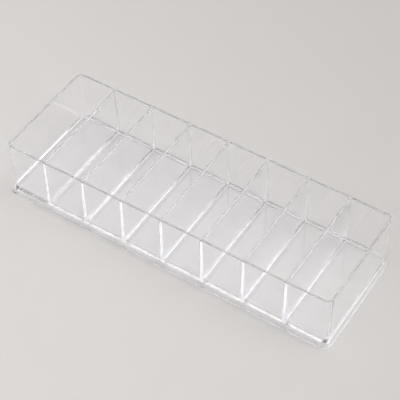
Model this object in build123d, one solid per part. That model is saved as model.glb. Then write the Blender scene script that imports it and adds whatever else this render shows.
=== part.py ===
"""Clear cosmetic organizer box: a moulded tray on a foot flange, and a row of lift-out dividers.

Millimetres. The origin is the middle of the underside, +X runs along the box, +Y to its back and +Z up.
"""

import os

from build123d import *

# Whole box
BOX_LENGTH = 245.0
BOX_WIDTH = 85.0
BOX_HEIGHT = 44.6
COMPARTMENTS = 8

# Flange round the foot of the tray
FLANGE_HEIGHT = 1.3
FLANGE_REACH = 2.1
FLANGE_CORNER_RADIUS = 6.0
FLANGE_TOP_ROUND = 1.0
FLANGE_BOTTOM_ROUND = 0.2

# Walls, with a coved foot inside
WALL_THICKNESS = 1.4
WALL_COVE_RADIUS = 1.6
CORNER_OVER_COVE = 1.1
RIM_ROUND = 0.6

# Floor, raised over a hollow underside
HOLLOW_HEIGHT = 2.3
FLOOR_THICKNESS = 2.4

# Dividers, thicker at the foot than at the top, each on a coved foot of its own
DIVIDER_TOP_THICKNESS = 1.7
DIVIDER_FOOT_THICKNESS = 2.4
DIVIDER_COVE_RADIUS = 2.0
DIVIDER_BELOW_RIM = 1.0
DIVIDER_TOP_ROUND = 0.72
DIVIDER_CORNER_RADIUS = 1.0
TOE_HEIGHT = 0.3
TOE_LIP = 0.2

# Grooves in the long walls and the room that a divider has in them
GROOVE_DEPTH = 0.6
GROOVE_SIDE_CLEARANCE = 0.15
GROOVE_END_CLEARANCE = 0.15
FOOT_CLEARANCE = 0.2

# Worked out from the sizes above
FLOOR_TOP = HOLLOW_HEIGHT + FLOOR_THICKNESS
WALL_LENGTH = BOX_LENGTH - 2 * FLANGE_REACH
WALL_WIDTH = BOX_WIDTH - 2 * FLANGE_REACH
INNER_LENGTH = WALL_LENGTH - 2 * WALL_THICKNESS
INNER_WIDTH = WALL_WIDTH - 2 * WALL_THICKNESS
INNER_CORNER_RADIUS = WALL_COVE_RADIUS + CORNER_OVER_COVE
WALL_CORNER_RADIUS = INNER_CORNER_RADIUS + WALL_THICKNESS
DIVIDER_HEIGHT = BOX_HEIGHT - DIVIDER_BELOW_RIM - FLOOR_TOP
DIVIDER_MEAN_THICKNESS = (DIVIDER_TOP_THICKNESS + DIVIDER_FOOT_THICKNESS) / 2
DIVIDER_PITCH = (INNER_LENGTH + DIVIDER_MEAN_THICKNESS) / COMPARTMENTS
DIVIDER_SPAN = INNER_WIDTH + 2 * (GROOVE_DEPTH - GROOVE_END_CLEARANCE)
FOOT_SPAN = INNER_WIDTH - 2 * (WALL_COVE_RADIUS + FOOT_CLEARANCE)
GROOVE_WIDTH = DIVIDER_FOOT_THICKNESS + 2 * GROOVE_SIDE_CLEARANCE


def divider_places():
    """X of each divider, from the left end, with equal compartments between."""
    middle = COMPARTMENTS / 2
    return [(number - middle) * DIVIDER_PITCH for number in range(1, COMPARTMENTS)]


def rounded_block(length, width, radius, bottom, top):
    """Upright block with rounded vertical corners."""
    return Pos(0, 0, bottom) * extrude(RectangleRounded(length, width, radius), top - bottom)


def bottom_edges(solid):
    return solid.faces().sort_by(Axis.Z)[0].edges()


def top_edges(solid):
    return solid.faces().sort_by(Axis.Z)[-1].edges()


def grooves():
    """Upright grooves in the inner faces of both long walls, from the floor to the rim."""
    height = BOX_HEIGHT - FLOOR_TOP
    across = INNER_WIDTH + 2 * GROOVE_DEPTH
    groove = Pos(0, 0, FLOOR_TOP + height / 2) * Box(GROOVE_WIDTH, across, height)
    return [Pos(x, 0, 0) * groove for x in divider_places()]


def tray():
    """Walls, raised floor and foot flange in one moulding, grooved for the dividers."""
    flange = rounded_block(BOX_LENGTH, BOX_WIDTH, FLANGE_CORNER_RADIUS, 0, FLANGE_HEIGHT)
    flange = fillet(top_edges(flange), FLANGE_TOP_ROUND)
    flange = fillet(bottom_edges(flange), FLANGE_BOTTOM_ROUND)
    walls = rounded_block(WALL_LENGTH, WALL_WIDTH, WALL_CORNER_RADIUS, 0, BOX_HEIGHT)
    cavity = rounded_block(INNER_LENGTH, INNER_WIDTH, INNER_CORNER_RADIUS, FLOOR_TOP, BOX_HEIGHT)
    cavity = fillet(bottom_edges(cavity), WALL_COVE_RADIUS)
    hollow = rounded_block(INNER_LENGTH, INNER_WIDTH, INNER_CORNER_RADIUS, 0, HOLLOW_HEIGHT)
    walls = walls - cavity
    walls = fillet(top_edges(walls), RIM_ROUND)
    return flange + walls - hollow - grooves()


def half_thickness(height):
    """Half of a divider's thickness at a height over the floor: it thins evenly upwards."""
    thinning = (DIVIDER_FOOT_THICKNESS - DIVIDER_TOP_THICKNESS) * height / DIVIDER_HEIGHT
    return (DIVIDER_FOOT_THICKNESS - thinning) / 2


def section(right):
    """Face from the right half of an upright outline, given from the foot up."""
    left = [(-x, z) for x, z in reversed(right)]
    return make_face(Polyline(*right, *left, close=True))


def web_section():
    """Cross-section of a divider's web, with a rounded crest."""
    web = section([(half_thickness(z), z) for z in (0, DIVIDER_HEIGHT)])
    return fillet(web.vertices().group_by(Axis.Y)[-1], DIVIDER_TOP_ROUND)


def foot_section():
    """Cross-section of a divider's foot, with a cove up each face of the web."""
    height = TOE_HEIGHT + 2 * DIVIDER_COVE_RADIUS
    toe = half_thickness(TOE_HEIGHT) + DIVIDER_COVE_RADIUS + TOE_LIP
    web = [(half_thickness(z), z) for z in (TOE_HEIGHT, height)]
    foot = section([(toe, 0), (toe, TOE_HEIGHT), *web])
    roots = sorted(foot.vertices(), key=lambda v: (abs(v.Y - TOE_HEIGHT), abs(v.X)))[:2]
    return fillet(roots, DIVIDER_COVE_RADIUS)


def divider():
    """Lift-out panel, standing on the tray's floor at the middle of the box."""
    side = RectangleRounded(DIVIDER_SPAN, 2 * DIVIDER_HEIGHT, DIVIDER_CORNER_RADIUS)
    web = extrude(Plane.XZ * web_section(), DIVIDER_SPAN / 2, both=True)
    web = web & extrude(Plane.YZ * side, DIVIDER_FOOT_THICKNESS, both=True)
    foot = extrude(Plane.XZ * foot_section(), FOOT_SPAN / 2, both=True)
    return Pos(0, 0, FLOOR_TOP) * (web + foot)


def main():
    os.makedirs("parts", exist_ok=True)
    nodes = {"tray": tray()}
    panel = divider()
    for number, x in enumerate(divider_places(), 1):
        nodes[f"divider_{number}"] = Pos(x, 0, 0) * panel
    for name, shape in nodes.items():
        export_step(shape, f"parts/{name}.step")


main()
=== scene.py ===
"""Looks of a clear cosmetic organizer box on a pale studio floor.

The box is a moulded tray with lift-out dividers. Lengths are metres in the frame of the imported
part: +X along the box, +Y to its back, +Z up.
"""

import math

import bmesh
import bpy
from bpy.props import FloatProperty, FloatVectorProperty, IntProperty, PointerProperty
from mathutils import Matrix, Vector


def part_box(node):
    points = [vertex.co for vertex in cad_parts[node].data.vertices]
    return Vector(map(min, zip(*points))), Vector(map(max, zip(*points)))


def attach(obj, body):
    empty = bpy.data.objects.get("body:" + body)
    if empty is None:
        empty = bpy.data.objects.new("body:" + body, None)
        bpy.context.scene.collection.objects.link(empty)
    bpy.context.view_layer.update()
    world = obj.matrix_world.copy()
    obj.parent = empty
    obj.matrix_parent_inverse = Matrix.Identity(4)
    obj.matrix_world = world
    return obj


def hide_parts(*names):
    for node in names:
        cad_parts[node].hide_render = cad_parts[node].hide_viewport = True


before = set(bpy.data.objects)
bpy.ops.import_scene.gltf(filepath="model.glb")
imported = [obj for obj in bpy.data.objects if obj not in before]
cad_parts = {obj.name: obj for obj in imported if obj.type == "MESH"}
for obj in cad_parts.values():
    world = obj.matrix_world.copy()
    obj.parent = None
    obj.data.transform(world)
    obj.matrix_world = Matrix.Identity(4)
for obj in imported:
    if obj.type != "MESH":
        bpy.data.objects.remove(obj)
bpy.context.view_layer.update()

bl_info = {
    "name": "Cosmetic organizer box",
    "version": (1, 0, 0),
    "blender": (4, 5, 0),
    "location": "3D View > Sidebar > Organizer",
    "description": "Clear moulded tray with lift-out dividers, its floor, light and camera",
    "category": "Object",
}

MM = 0.001
DIVIDERS = [f"divider_{number}" for number in range(1, 8)]
TRAY_LOW, TRAY_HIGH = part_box("tray")
PANEL_LOW, PANEL_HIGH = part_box(DIVIDERS[0])

# Camera of the photograph, as fitted to the box's corners
IMAGE_SIDE = 400
CAMERA_AZIMUTH = math.radians(32.93)
CAMERA_ELEVATION = math.radians(48.82)
CAMERA_ROLL = math.radians(-0.34)
CAMERA_TARGET = Vector((-0.00938, 0.01963, -0.00020))
CAMERA_DISTANCE = 0.90372
CAMERA_FOCAL_PIXELS = 1348.97
SENSOR_WIDTH = 36

# Soft boxes round the object, in degrees: azimuth of the middle from +X, half width, and lowest
# and highest elevation
SOFT_BOXES = {
    "right": (22, 36, -10, 32),
    "back_right": (52, 34, 30, 66),
    "back": (105, 26, 40, 66),
    "front": (260, 45, -10, 46),
    "overhead": (0, 200, 62, 100),
}

# Light crosses many clear walls before it comes out
LIGHT_BOUNCES = 40
SEE_THROUGH_BOUNCES = 16

# Faces in a quarter turn of the tray's roundings
FLANGE_FOOT_STEPS = 4
FLANGE_TOP_STEPS = 10
RIM_STEPS = 8
COVE_STEPS = 10

# Points along the line that a divider's outline is swept along
SWEEP_POINTS = 41

# Strip beside a rounding that holds the shading of the flat next to it
HOLD = 0.3 * MM

# Hair's breadths that keep faces from coinciding before pieces are joined or cut: between a
# divider's web and foot, and between the tray's floor and the lower ends of the grooves
WEB_LIFT = 0.004 * MM
GROOVE_LIFT = 0.01 * MM

# Points of the tray that lie closer than this are one
MERGE_DISTANCE = 0.0001 * MM

# An edge with a larger turn is sharp, and a face that looks this nearly along an axis is flat
SHARP_TURN = math.radians(30)
FLAT_NORMAL = 0.9995

# Clear plastic: streaks of flow with their spread of polish, and the swell of the cooled faces
PLASTIC_IOR = 1.52
FLOW_SPACING = 15 * MM
POLISH_SPREAD = 0.4
SWELL_SPACING = 25 * MM
SWELL_HEIGHT = 0.006 * MM

# Studio floor: its half side, the gap under the box, where painted shade darkens it as the light
# falls off towards the back, and its clouds of fibre
FLOOR_HALF = 3.0
FLOOR_GAP = 0.1 * MM
PAINTED_SHADE_TOWARDS = (0.5, 0.87, 0)
PAINTED_SHADE_FROM = -250 * MM
PAINTED_SHADE_TO = 300 * MM
CLOUD_SIZE = 40 * MM
CLOUD_SHARE = 0.06

# Lengths that a divider's node tree takes, and the properties that hold them
PANEL_LENGTHS = {
    "Span": "span",
    "Height": "height",
    "Foot": "foot_thickness",
    "Top": "top_thickness",
    "Foot Span": "foot_span",
    "Cove": "cove",
    "Toe Height": "toe_height",
    "Toe Lip": "toe_lip",
    "Crest": "crest_round",
    "Corner": "corner",
}

# Kinds of node that are used again and again
MATH = "ShaderNodeMath"
COMBINE = "ShaderNodeCombineXYZ"
NOISE = "ShaderNodeTexNoise"
MAP_RANGE = "ShaderNodeMapRange"
BACKGROUND = "ShaderNodeBackground"
TRANSFORM = "GeometryNodeTransform"
BOOLEAN = "GeometryNodeMeshBoolean"
QUADRILATERAL = "GeometryNodeCurvePrimitiveQuadrilateral"
FILLET = "GeometryNodeFilletCurve"


def linear(code):
    """Linear RGB of an sRGB hex colour."""
    parts = [int(code[place : place + 2], 16) / 255 for place in (1, 3, 5)]
    return tuple(p / 12.92 if p <= 0.04045 else ((p + 0.055) / 1.055) ** 2.4 for p in parts)


def size(name, description, millimetres):
    """Property for one length of the object."""
    return FloatProperty(
        name=name,
        description=description,
        default=millimetres * MM,
        min=0,
        precision=5,
        unit="LENGTH",
    )


def steps(description, count):
    """Property for the number of faces in a quarter turn."""
    return IntProperty(name="Arc steps", description=description, default=count, min=3)


def brightness(name, description, level):
    """Property for the brightness of one light, where 1 is white."""
    return FloatProperty(name=name, description=description, default=level, min=0)


def colour(name, description, code):
    """Property for one colour, given as an sRGB hex value."""
    return FloatVectorProperty(
        name=name,
        description=description,
        subtype="COLOR",
        size=3,
        default=linear(code),
        min=0,
        max=1,
    )


class OrganizerTraySizes(bpy.types.PropertyGroup):
    """Sizes of the moulded tray."""

    length: size("Length", "Length over the foot flange", (TRAY_HIGH.x - TRAY_LOW.x) / MM)
    width: size("Width", "Width over the foot flange", (TRAY_HIGH.y - TRAY_LOW.y) / MM)
    height: size("Height", "Height of the rim over the table", TRAY_HIGH.z / MM)
    flange_height: size("Flange height", "Height of the foot flange", 1.3)
    flange_reach: size("Flange reach", "How far the foot flange stands out of the walls", 2.1)
    flange_corner: size("Flange corner", "Corner radius of the foot flange in plan", 6.0)
    flange_top_round: size("Flange top round", "Rounding of the flange's upper edge", 1.0)
    flange_bottom_round: size("Flange bottom round", "Rounding of the flange's lower edge", 0.2)
    wall: size("Wall", "Thickness of the walls", 1.4)
    wall_corner: size("Wall corner", "Outer corner radius of the walls in plan", 4.1)
    wall_cove: size("Wall cove", "Radius of the cove between walls and floor", 1.6)
    rim_round: size("Rim round", "Rounding of both edges of the rim", 0.6)
    hollow: size("Hollow", "Height of the hollow under the floor", 2.3)
    floor_top: size("Floor top", "Height of the floor's upper face", PANEL_LOW.z / MM)
    groove_width: size("Groove width", "Width of a divider's groove in the long walls", 2.7)
    groove_depth: size("Groove depth", "Depth of a divider's groove in the long walls", 0.6)
    arc_steps: steps("Faces in a quarter turn of a corner", 12)


class OrganizerDividerSizes(bpy.types.PropertyGroup):
    """Sizes of one lift-out divider."""

    span: size("Span", "Length from groove to groove", (PANEL_HIGH.y - PANEL_LOW.y) / MM)
    height: size("Height", "Height over the floor", (PANEL_HIGH.z - PANEL_LOW.z) / MM)
    foot_thickness: size("Foot thickness", "Thickness of the web at the floor", 2.4)
    top_thickness: size("Top thickness", "Thickness of the web under its crest", 1.7)
    foot_span: size("Foot span", "Length of the coved foot", 74.4)
    cove: size("Cove", "Radius of the coves along the foot", 2.0)
    toe_height: size("Toe height", "Height of the foot's thin edge", 0.3)
    toe_lip: size("Toe lip", "Flat of the foot outside its coves", 0.2)
    crest_round: size("Crest round", "Rounding along the top of the web", 0.72)
    corner: size("Corner", "Radius of the web's upper corners", 1.0)
    seat: size("Seat", "How far the foot beds into the floor, so that light passes between", 0.04)
    arc_steps: steps("Faces in a quarter turn of a rounding", 8)


class OrganizerLook(bpy.types.PropertyGroup):
    """Colours of the plastic and of the studio, and the levels of its light."""

    plastic: colour("Plastic", "Tint of the clear plastic", "#FEFEFF")
    plastic_loss: FloatProperty(
        name="Plastic loss",
        description="Share of light that the plastic swallows, per metre",
        default=1.0,
        min=0,
    )
    plastic_roughness: FloatProperty(
        name="Plastic roughness",
        description="Roughness of the polished faces",
        subtype="FACTOR",
        default=0.05,
        min=0,
        max=1,
    )
    # The paper as lit in front of the box, and the same paper with painted shade behind it where
    # the light falls off
    paper_near_lit: colour("Paper in front", "Colour of the floor in front of the box", "#D6D3D1")
    paper_far_painted_shade: colour("Paper behind", "Colour of the floor behind the box", "#C3C0BE")
    backdrop: colour("Backdrop", "Colour of the backdrop behind the floor", "#CECBC9")
    light: colour("Light", "Colour of the light", "#FFFFFF")
    box_edge: FloatProperty(
        name="Soft box edge",
        description="Half the width of the soft boxes' fading edges",
        subtype="ANGLE",
        default=math.radians(9),
        min=0,
    )
    room: brightness("Room", "Brightness of the dim room", 0.42)
    right: brightness("Right", "Brightness of the low soft box at the right", 2.8)
    back_right: brightness("Back right", "Brightness of the high soft box at the back right", 1.48)
    back: brightness("Back", "Brightness of the high soft box behind", 0.93)
    front: brightness("Front", "Brightness of the soft box in front", 1.53)
    overhead: brightness("Overhead", "Brightness of the soft box overhead", 0.89)


def organizer():
    """The add-on's property groups on the scene."""
    scene = bpy.context.scene
    return scene.organizer_tray, scene.organizer_divider, scene.organizer_look


def node(tree, kind, inputs=None, **settings):
    """Adds a node with its settings.

    An input is a value, the output that feeds it, a node whose first output feeds it, or a list
    of such nodes where the input takes several.
    """
    made = tree.nodes.new(kind)
    for name, value in settings.items():
        setattr(made, name, value)
    for key, value in (inputs or {}).items():
        for feed in value if isinstance(value, list) else [value]:
            if isinstance(feed, bpy.types.Node):
                feed = feed.outputs[0]
            if isinstance(feed, bpy.types.NodeSocket):
                tree.links.new(feed, made.inputs[key])
            else:
                made.inputs[key].default_value = feed
    return made


def clear_polystyrene():
    """Clear polystyrene, injection moulded in a polished mould.

    It is nearly colourless, with a trace of blue, and almost as smooth as glass. The eye finds it
    by its white and grey edges. The melt's flow leaves the polish a little uneven and the cooling
    leaves a slight swell in the flat faces, which draw the light that runs along inside them out
    into even lines.
    """
    name = "moulded_clear_polystyrene"
    if name in bpy.data.materials:
        return bpy.data.materials[name]
    look = organizer()[2]
    material = bpy.data.materials.new(name)
    material.use_nodes = True
    tree = material.node_tree
    tree.nodes.clear()
    place = node(tree, "ShaderNodeTexCoord").outputs["Object"]

    # Streaks of flow, in which the polish is a little better or worse
    flow = node(tree, NOISE, {"Vector": place, "Scale": 1 / FLOW_SPACING, "Detail": 2.0})
    polish = node(
        tree,
        MAP_RANGE,
        {
            "Value": flow,
            "To Min": (1 - POLISH_SPREAD) * look.plastic_roughness,
            "To Max": (1 + POLISH_SPREAD) * look.plastic_roughness,
        },
    )

    # Swell of the cooled faces, some thousandths of a millimetre high
    swell = node(tree, NOISE, {"Vector": place, "Scale": 1 / SWELL_SPACING, "Detail": 1.0})
    bump = node(tree, "ShaderNodeBump", {"Height": swell, "Distance": SWELL_HEIGHT})

    # Light that runs far along inside the plastic comes out a little weaker
    loss = node(
        tree,
        "ShaderNodeVolumeAbsorption",
        {"Color": (0, 0, 0, 1), "Density": look.plastic_loss},
    )
    shader = node(
        tree,
        "ShaderNodeBsdfPrincipled",
        {
            "Base Color": (*look.plastic, 1),
            "Roughness": polish,
            "IOR": PLASTIC_IOR,
            "Normal": bump,
            "Transmission Weight": 1.0,
        },
    )
    node(tree, "ShaderNodeOutputMaterial", {"Surface": shader, "Volume": loss})
    return material


def finished_mesh(piece, name):
    """Plain mesh of an object with its modifiers done."""
    depsgraph = bpy.context.evaluated_depsgraph_get()
    mesh = bpy.data.meshes.new_from_object(piece.evaluated_get(depsgraph))
    mesh.name = name
    return mesh


def place_piece(mesh, name, body, replaced):
    """Puts a finished mesh in the scene as the piece that stands for a node of the part."""
    piece = bpy.data.objects.new(name, mesh)
    bpy.context.scene.collection.objects.link(piece)
    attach(piece, body)
    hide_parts(replaced)


def shade_by_form(mesh):
    """Keeps flats flat and rounds smooth, so that light bends only where the form does."""
    mesh.set_sharp_from_angle(angle=SHARP_TURN)
    for face in mesh.polygons:
        face.use_smooth = max(abs(part) for part in face.normal) < FLAT_NORMAL


def rounded_rectangle(half_length, half_width, radius, arc_steps):
    """Points of a rectangle with rounded corners, counter-clockwise.

    A point a little way along each straight side keeps the shading of the corner out of the side.
    """
    points = []
    for quarter in range(4):
        side_x = 1 if quarter in (0, 3) else -1
        side_y = 1 if quarter in (0, 1) else -1
        corner = []
        for step in range(arc_steps + 1):
            angle = math.pi / 2 * (quarter + step / arc_steps)
            x = side_x * (half_length - radius) + radius * math.cos(angle)
            y = side_y * (half_width - radius) + radius * math.sin(angle)
            corner.append(Vector((x, y)))
        start = math.pi / 2 * quarter
        before = corner[0] - HOLD * Vector((-math.sin(start), math.cos(start)))
        after = corner[-1] + HOLD * Vector((-math.cos(start), -math.sin(start)))
        points += [before, *corner, after]
    return points


def quarter_round(centre, radius, start, turn, arc_steps):
    """Points of an arc in the wall's section, from start degrees and turn degrees on."""
    points = []
    for step in range(arc_steps + 1):
        angle = math.radians(start + turn * step / arc_steps)
        points.append((centre[0] + radius * math.cos(angle), centre[1] + radius * math.sin(angle)))
    return points


def tray_section(tray):
    """Section of the tray's side, from the hollow's ceiling round the outside to the floor.

    Each point is the distance in from the outer edge of the flange, and the height.
    """
    outside = tray.flange_reach
    inside = tray.flange_reach + tray.wall
    low, high = tray.flange_bottom_round, tray.flange_top_round
    rim, cove = tray.rim_round, tray.wall_cove
    rim_foot = tray.height - rim
    cove_top = tray.floor_top + cove
    return [
        (inside, tray.hollow),
        (inside, 0),
        *quarter_round((low, low), low, 270, -90, FLANGE_FOOT_STEPS),
        *quarter_round((high, tray.flange_height - high), high, 180, -90, FLANGE_TOP_STEPS),
        (outside, tray.flange_height),
        (outside, rim_foot - HOLD),
        *quarter_round((outside + rim, rim_foot), rim, 180, -90, RIM_STEPS),
        *quarter_round((inside - rim, rim_foot), rim, 90, -90, RIM_STEPS),
        (inside, rim_foot - HOLD),
        (inside, cove_top + HOLD),
        *quarter_round((inside + cove, cove_top), cove, 180, 90, COVE_STEPS),
    ]


def corner_radius(tray, inset):
    """Corner radius in plan at a distance in from the outer edge of the flange."""
    if inset < tray.flange_reach:
        return tray.flange_corner - inset
    return tray.wall_corner - (inset - tray.flange_reach)


def tray_mesh(tray):
    """Tray without its grooves: its section carried round the plan, closed by the floor's faces."""
    shell = bmesh.new()
    rings = []
    for inset, height in tray_section(tray):
        plan = rounded_rectangle(
            tray.length / 2 - inset,
            tray.width / 2 - inset,
            corner_radius(tray, inset),
            tray.arc_steps,
        )
        rings.append([shell.verts.new((x, y, height)) for x, y in plan])
    for lower, upper in zip(rings, rings[1:]):
        for place in range(len(lower)):
            after = (place + 1) % len(lower)
            shell.faces.new((lower[place], lower[after], upper[after], upper[place]))
    shell.faces.new(rings[0])
    shell.faces.new(rings[-1])
    bmesh.ops.remove_doubles(shell, verts=shell.verts, dist=MERGE_DISTANCE)
    bmesh.ops.recalc_face_normals(shell, faces=shell.faces)
    mesh = bpy.data.meshes.new("tray_shell")
    shell.to_mesh(mesh)
    shell.free()
    return mesh


def new_tree(name, sockets):
    """Geometry node tree with named inputs and one geometry output."""
    tree = bpy.data.node_groups.new(name, "GeometryNodeTree")
    for label, kind in sockets.items():
        tree.interface.new_socket(label, in_out="INPUT", socket_type=kind)
    tree.interface.new_socket("Geometry", in_out="OUTPUT", socket_type="NodeSocketGeometry")
    return tree, node(tree, "NodeGroupInput").outputs


def close_tree(tree, geometry, material):
    """Ends a tree with real geometry in its material."""
    real = node(tree, "GeometryNodeRealizeInstances", {"Geometry": geometry})
    painted = node(tree, "GeometryNodeSetMaterial", {"Geometry": real, "Material": material})
    node(tree, "NodeGroupOutput", {"Geometry": painted})


def grown(tree, name, values):
    """Object that a geometry node tree makes from the given inputs."""
    base = bpy.data.objects.new(name, bpy.data.meshes.new(name))
    bpy.context.scene.collection.objects.link(base)
    modifier = base.modifiers.new(name, "NODES")
    modifier.node_group = tree
    for socket in tree.interface.items_tree:
        if socket.in_out == "INPUT":
            modifier[socket.identifier] = values[socket.name]
    return base


def remove_helper(helper):
    """Takes a helper object and its mesh out of the file."""
    mesh = helper.data
    bpy.data.objects.remove(helper)
    bpy.data.meshes.remove(mesh)


def groove_tree():
    """Row of blocks, one for each pair of grooves."""
    tree, given = new_tree(
        "groove_row",
        {
            "Count": "NodeSocketInt",
            "Start": "NodeSocketVector",
            "Step": "NodeSocketVector",
            "Size": "NodeSocketVector",
            "Material": "NodeSocketMaterial",
        },
    )
    row = node(
        tree,
        "GeometryNodeMeshLine",
        {"Count": given["Count"], "Start Location": given["Start"], "Offset": given["Step"]},
    )
    block = node(tree, "GeometryNodeMeshCube", {"Size": given["Size"]})
    blocks = node(tree, "GeometryNodeInstanceOnPoints", {"Points": row, "Instance": block})
    close_tree(tree, blocks, given["Material"])
    return tree


def swept_bar(tree, outline, along, reach):
    """Closed bar with a flat outline, reach long each way along X or Y."""
    back = node(tree, MATH, {0: reach, 1: -1.0}, operation="MULTIPLY")
    start = node(tree, COMBINE, {along: back})
    end = node(tree, COMBINE, {along: reach})
    line = node(tree, "GeometryNodeCurvePrimitiveLine", {"Start": start, "End": end})
    points = node(tree, "GeometryNodeResampleCurve", {"Curve": line, "Count": SWEEP_POINTS})
    return node(
        tree,
        "GeometryNodeCurveToMesh",
        {"Curve": points, "Profile Curve": outline, "Fill Caps": True},
    )


def divider_web(tree, given):
    """Upright web of a divider, thinner upwards, with a rounded crest and rounded upper corners."""
    # The outline hangs head down, because the sweep along Y turns it over
    shortened = node(tree, MATH, {0: given["Height"], 1: WEB_LIFT}, operation="SUBTRACT")
    outline = node(
        tree,
        QUADRILATERAL,
        {
            "Height": shortened,
            "Bottom Width": given["Top"],
            "Top Width": given["Foot"],
            "Offset": 0.0,
        },
        mode="TRAPEZOID",
    )
    point = node(tree, "GeometryNodeInputPosition")
    point = node(tree, "ShaderNodeSeparateXYZ", {"Vector": point})
    at_crest = node(tree, MATH, {0: point.outputs["Y"], 1: 0.0}, operation="LESS_THAN")
    crest = node(tree, MATH, {0: at_crest, 1: given["Crest"]}, operation="MULTIPLY")
    outline = node(
        tree,
        FILLET,
        {"Curve": outline, "Count": given["Steps"], "Radius": crest},
        mode="POLY",
    )
    half_span = node(tree, MATH, {0: given["Span"], 1: 0.5}, operation="MULTIPLY")
    lifted = node(tree, MATH, {0: given["Height"], 1: WEB_LIFT}, operation="ADD")
    middle = node(tree, MATH, {0: lifted, 1: 0.5}, operation="MULTIPLY")
    web = node(
        tree,
        TRANSFORM,
        {
            "Geometry": swept_bar(tree, outline, "Y", half_span),
            "Translation": node(tree, COMBINE, {"Z": middle}),
        },
    )

    # Where the web meets an upright slab with rounded corners, its own upper corners are rounded
    tall = node(tree, MATH, {0: given["Height"], 1: 2.0}, operation="MULTIPLY")
    side = node(tree, QUADRILATERAL, {"Width": given["Span"], "Height": tall})
    side = node(
        tree,
        FILLET,
        {"Curve": side, "Count": given["Steps"], "Radius": given["Corner"]},
        mode="POLY",
    )
    slab = swept_bar(tree, side, "X", given["Foot"])
    return node(tree, BOOLEAN, {"Mesh 2": [slab, web]}, operation="INTERSECT", solver="EXACT")


def divider_foot(tree, given):
    """Foot of a divider: a low block, from which a rod along each side takes the coves."""
    cove_top = node(tree, MATH, {0: given["Toe Height"], 1: given["Cove"]}, operation="ADD")
    middle = node(tree, MATH, {0: cove_top, 1: 0.5}, operation="MULTIPLY")

    # Half the web's thickness at the middle of the cove, and from there the middle of the rod
    half_foot = node(tree, MATH, {0: given["Foot"], 1: 0.5}, operation="MULTIPLY")
    taper = node(tree, MATH, {0: given["Foot"], 1: given["Top"]}, operation="SUBTRACT")
    thinning = node(tree, MATH, {0: taper, 1: given["Height"]}, operation="DIVIDE")
    thinned = node(tree, MATH, {0: thinning, 1: middle}, operation="MULTIPLY")
    half_web = node(tree, MATH, {0: half_foot, 1: thinned}, operation="SUBTRACT")
    cove_place = node(tree, MATH, {0: half_web, 1: given["Cove"]}, operation="ADD")

    toe = node(tree, MATH, {0: cove_place, 1: given["Toe Lip"]}, operation="ADD")
    width = node(tree, MATH, {0: toe, 1: 2.0}, operation="MULTIPLY")
    whole = node(tree, COMBINE, {"X": width, "Y": given["Foot Span"], "Z": cove_top})
    block = node(
        tree,
        TRANSFORM,
        {
            "Geometry": node(tree, "GeometryNodeMeshCube", {"Size": whole}),
            "Translation": node(tree, COMBINE, {"Z": middle}),
        },
    )

    facets = node(tree, MATH, {0: given["Steps"], 1: 4.0}, operation="MULTIPLY")
    rod = node(
        tree,
        "GeometryNodeMeshCylinder",
        {"Vertices": facets, "Radius": given["Cove"], "Depth": given["Span"]},
    )
    rod = node(tree, TRANSFORM, {"Geometry": rod, "Rotation": (math.pi / 2, 0, 0)})
    reach = node(tree, MATH, {0: cove_place, 1: WEB_LIFT}, operation="SUBTRACT")
    left = node(tree, MATH, {0: reach, 1: -1.0}, operation="MULTIPLY")
    apart = node(tree, MATH, {0: reach, 1: 2.0}, operation="MULTIPLY")
    pair = node(
        tree,
        "GeometryNodeMeshLine",
        {
            "Count": 2,
            "Start Location": node(tree, COMBINE, {"X": left, "Z": cove_top}),
            "Offset": node(tree, COMBINE, {"X": apart}),
        },
    )
    rods = node(tree, "GeometryNodeInstanceOnPoints", {"Points": pair, "Instance": rod})
    rods = node(tree, "GeometryNodeRealizeInstances", {"Geometry": rods})
    return node(
        tree,
        BOOLEAN,
        {"Mesh 1": block, "Mesh 2": rods},
        operation="DIFFERENCE",
        solver="EXACT",
    )


def divider_tree():
    """One divider: its web and its foot, joined and put in place."""
    tree, given = new_tree(
        "divider_panel",
        {
            **{label: "NodeSocketFloat" for label in PANEL_LENGTHS},
            "Steps": "NodeSocketInt",
            "Place": "NodeSocketVector",
            "Material": "NodeSocketMaterial",
        },
    )
    web = divider_web(tree, given)
    foot = divider_foot(tree, given)
    panel = node(tree, BOOLEAN, {"Mesh 2": [foot, web]}, operation="UNION", solver="EXACT")
    panel = node(tree, TRANSFORM, {"Geometry": panel, "Translation": given["Place"]})
    close_tree(tree, panel, given["Material"])
    return tree


class ORGANIZER_OT_tray(bpy.types.Operator):
    """Make the moulded tray: walls, raised floor and foot flange, with grooves for the dividers"""

    bl_idname = "organizer.tray"
    bl_label = "Tray"

    def execute(self, context):
        tray = organizer()[0]
        plastic = clear_polystyrene()
        shell = bpy.data.objects.new("tray_shell", tray_mesh(tray))
        shell.data.materials.append(plastic)
        context.scene.collection.objects.link(shell)
        places = [sum(corner.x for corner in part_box(name)) / 2 for name in DIVIDERS]
        inner_width = tray.width - 2 * (tray.flange_reach + tray.wall)
        tall = tray.height - tray.floor_top
        bottom = tray.floor_top + GROOVE_LIFT
        grooves = grown(
            groove_tree(),
            "groove_row",
            {
                "Count": len(places),
                "Start": (places[0], 0, bottom + tall / 2),
                "Step": ((places[-1] - places[0]) / (len(places) - 1), 0, 0),
                "Size": (tray.groove_width, inner_width + 2 * tray.groove_depth, tall),
                "Material": plastic,
            },
        )
        cut = shell.modifiers.new("grooves", "BOOLEAN")
        cut.operation = "DIFFERENCE"
        cut.solver = "EXACT"
        cut.object = grooves
        mesh = finished_mesh(shell, "tray")
        remove_helper(shell)
        remove_helper(grooves)
        shade_by_form(mesh)
        place_piece(mesh, "moulded_tray", "tray", "tray")
        return {"FINISHED"}


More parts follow.
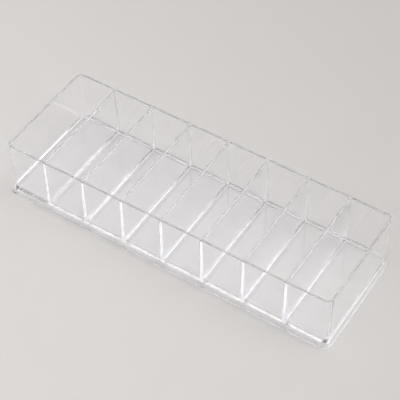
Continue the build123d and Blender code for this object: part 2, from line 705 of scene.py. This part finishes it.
class ORGANIZER_OT_dividers(bpy.types.Operator):
    """Make the seven lift-out dividers, each on the tray's floor between its two grooves"""

    bl_idname = "organizer.dividers"
    bl_label = "Dividers"

    def execute(self, context):
        panel = organizer()[1]
        plastic = clear_polystyrene()
        tree = divider_tree()
        lengths = {label: getattr(panel, name) for label, name in PANEL_LENGTHS.items()}
        for number, name in enumerate(DIVIDERS, 1):
            low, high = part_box(name)
            place = ((low.x + high.x) / 2, (low.y + high.y) / 2, low.z - panel.seat)
            made = grown(
                tree,
                name + "_nodes",
                {**lengths, "Steps": panel.arc_steps, "Place": place, "Material": plastic},
            )
            mesh = finished_mesh(made, name)
            remove_helper(made)
            shade_by_form(mesh)
            place_piece(mesh, f"divider_panel_{number}", name, name)
        return {"FINISHED"}


def light_studio(scene, look):
    """Dim room with soft boxes, which is all the light there is.

    The eye sees a plain backdrop where it looks past the floor, also straight through the clear
    plastic.
    """
    world = bpy.data.worlds.new("studio")
    world.use_nodes = True
    tree = world.node_tree
    tree.nodes.clear()
    seen = node(tree, "ShaderNodeTexCoord").outputs["Generated"]
    seen = node(tree, "ShaderNodeSeparateXYZ", {"Vector": seen}).outputs
    azimuth = node(tree, MATH, {0: seen["Y"], 1: seen["X"]}, operation="ARCTAN2")
    elevation = node(tree, MATH, {0: seen["Z"]}, operation="ARCSINE")

    # Each soft box is 1 inside its edges and 0 outside, with a soft change between
    total = look.room
    for name, box in SOFT_BOXES.items():
        middle, half_width, low, high = (math.radians(angle) for angle in box)
        turned = node(tree, MATH, {0: azimuth, 1: middle - math.pi}, operation="SUBTRACT")
        turned = node(tree, MATH, {0: turned, 1: math.tau}, operation="FLOORED_MODULO")
        beside = node(tree, MATH, {0: turned, 1: math.pi}, operation="SUBTRACT")
        above = node(tree, MATH, {0: elevation, 1: (low + high) / 2}, operation="SUBTRACT")
        shares = []
        for offset, half in ((beside, half_width), (above, (high - low) / 2)):
            edge = {
                "Value": node(tree, MATH, {0: offset}, operation="ABSOLUTE"),
                "From Min": half + look.box_edge,
                "From Max": half - look.box_edge,
            }
            shares.append(node(tree, MAP_RANGE, edge, interpolation_type="SMOOTHSTEP"))
        lit = node(tree, MATH, dict(enumerate(shares)), operation="MULTIPLY")
        level = getattr(look, name)
        total = node(tree, MATH, {0: lit, 1: level, 2: total}, operation="MULTIPLY_ADD")

    lamps = node(tree, BACKGROUND, {"Color": (*look.light, 1), "Strength": total})
    backdrop = node(tree, BACKGROUND, {"Color": (*look.backdrop, 1), "Strength": 1.0})
    ray = node(tree, "ShaderNodeLightPath").outputs
    turns = node(tree, MATH, {0: ray["Glossy Depth"], 1: ray["Diffuse Depth"]}, operation="ADD")
    straight = node(tree, MATH, {0: turns, 1: 0.5}, operation="LESS_THAN")
    mixed = node(tree, "ShaderNodeMixShader", {0: straight, 1: lamps, 2: backdrop})
    node(tree, "ShaderNodeOutputWorld", {"Surface": mixed})
    scene.world = world


def backdrop_paper(look):
    """Matte card, rolled out as a studio floor.

    It is pale and warm, with painted shade that darkens it towards the back where the light falls
    off, and the faint cloudiness of its fibres.
    """
    paper = bpy.data.materials.new("matte_backdrop_card")
    paper.use_nodes = True
    tree = paper.node_tree
    tree.nodes.clear()
    place = node(tree, "ShaderNodeTexCoord").outputs["Object"]
    # Painted shade: a share running from 0 in front of the box to 1 behind it, standing in for the
    # light falling off
    painted_falloff_share = node(
        tree,
        "ShaderNodeVectorMath",
        {0: place, 1: PAINTED_SHADE_TOWARDS},
        operation="DOT_PRODUCT",
    )
    painted_falloff_share = node(
        tree,
        MAP_RANGE,
        {"Value": painted_falloff_share.outputs["Value"], "From Min": PAINTED_SHADE_FROM, "From Max": PAINTED_SHADE_TO},
        interpolation_type="SMOOTHSTEP",
    )

    # Clouds of fibre, a small share of the way from the lighter to the darker colour
    fibre = node(tree, NOISE, {"Vector": place, "Scale": 1 / CLOUD_SIZE, "Detail": 3.0})
    cloud = node(tree, MAP_RANGE, {"Value": fibre, "To Min": -CLOUD_SHARE, "To Max": CLOUD_SHARE})
    share = node(tree, MATH, {0: painted_falloff_share, 1: cloud}, operation="ADD", use_clamp=True)

    # The colours go by the place of their sockets, because other sockets have the same names
    shade = node(
        tree,
        "ShaderNodeMix",
        {0: share, 6: (*look.paper_near_lit, 1), 7: (*look.paper_far_painted_shade, 1)},
        data_type="RGBA",
    )
    card = node(
        tree,
        "ShaderNodeBsdfPrincipled",
        {"Base Color": shade.outputs[2], "Roughness": 1.0, "Specular IOR Level": 0.0},
    )
    node(tree, "ShaderNodeOutputMaterial", {"Surface": card})
    return paper


def lay_floor(scene, look):
    """Studio floor under the box, a hair below its underside."""
    mesh = bpy.data.meshes.new("studio_floor")
    sides = ((-1, -1), (1, -1), (1, 1), (-1, 1))
    corners = [(x * FLOOR_HALF, y * FLOOR_HALF, -FLOOR_GAP) for x, y in sides]
    mesh.from_pydata(corners, [], [(0, 1, 2, 3)])
    mesh.materials.append(backdrop_paper(look))
    floor = bpy.data.objects.new("studio_floor", mesh)
    scene.collection.objects.link(floor)


def aim_camera(scene):
    """Camera at the viewing angle of the photograph."""
    back = Vector(
        (
            math.sin(CAMERA_AZIMUTH) * math.cos(CAMERA_ELEVATION),
            -math.cos(CAMERA_AZIMUTH) * math.cos(CAMERA_ELEVATION),
            math.sin(CAMERA_ELEVATION),
        )
    )
    sideways = (-back).cross(Vector((0, 0, 1))).normalized()
    upright = sideways.cross(-back)
    right = math.cos(CAMERA_ROLL) * sideways + math.sin(CAMERA_ROLL) * upright
    up = math.cos(CAMERA_ROLL) * upright - math.sin(CAMERA_ROLL) * sideways
    lens = bpy.data.cameras.new("camera")
    lens.sensor_width = SENSOR_WIDTH
    lens.lens = CAMERA_FOCAL_PIXELS / IMAGE_SIDE * SENSOR_WIDTH
    camera = bpy.data.objects.new("camera", lens)
    turn = Matrix((right, up, back)).transposed().to_4x4()
    camera.matrix_world = Matrix.Translation(CAMERA_TARGET + CAMERA_DISTANCE * back) @ turn
    scene.collection.objects.link(camera)
    scene.camera = camera


class ORGANIZER_OT_stage(bpy.types.Operator):
    """Set the floor, the light and the camera"""

    bl_idname = "organizer.stage"
    bl_label = "Stage"

    def execute(self, context):
        scene = context.scene
        look = organizer()[2]
        scene.view_settings.view_transform = "Standard"
        scene.cycles.max_bounces = LIGHT_BOUNCES
        scene.cycles.glossy_bounces = LIGHT_BOUNCES
        scene.cycles.transmission_bounces = LIGHT_BOUNCES
        scene.cycles.transparent_max_bounces = SEE_THROUGH_BOUNCES
        # The thin bright lines need unblurred reflections
        scene.cycles.blur_glossy = 0
        light_studio(scene, look)
        lay_floor(scene, look)
        aim_camera(scene)
        return {"FINISHED"}


class ORGANIZER_PT_panel(bpy.types.Panel):
    """Steps and sizes of the organizer box"""

    bl_idname = "ORGANIZER_PT_panel"
    bl_label = "Cosmetic organizer box"
    bl_space_type = "VIEW_3D"
    bl_region_type = "UI"
    bl_category = "Organizer"

    def draw(self, context):
        for kind in (ORGANIZER_OT_tray, ORGANIZER_OT_dividers, ORGANIZER_OT_stage):
            self.layout.operator(kind.bl_idname)
        for group in organizer():
            column = self.layout.column(align=True)
            for name in group.__annotations__:
                column.prop(group, name)


classes = (
    OrganizerTraySizes,
    OrganizerDividerSizes,
    OrganizerLook,
    ORGANIZER_OT_tray,
    ORGANIZER_OT_dividers,
    ORGANIZER_OT_stage,
    ORGANIZER_PT_panel,
)


def register():
    for kind in classes:
        bpy.utils.register_class(kind)
    bpy.types.Scene.organizer_tray = PointerProperty(type=OrganizerTraySizes)
    bpy.types.Scene.organizer_divider = PointerProperty(type=OrganizerDividerSizes)
    bpy.types.Scene.organizer_look = PointerProperty(type=OrganizerLook)


def unregister():
    del bpy.types.Scene.organizer_look
    del bpy.types.Scene.organizer_divider
    del bpy.types.Scene.organizer_tray
    for kind in reversed(classes):
        bpy.utils.unregister_class(kind)


def main():
    register()
    bpy.ops.organizer.tray()
    bpy.ops.organizer.dividers()
    bpy.ops.organizer.stage()


if __name__ == "__main__":
    main()
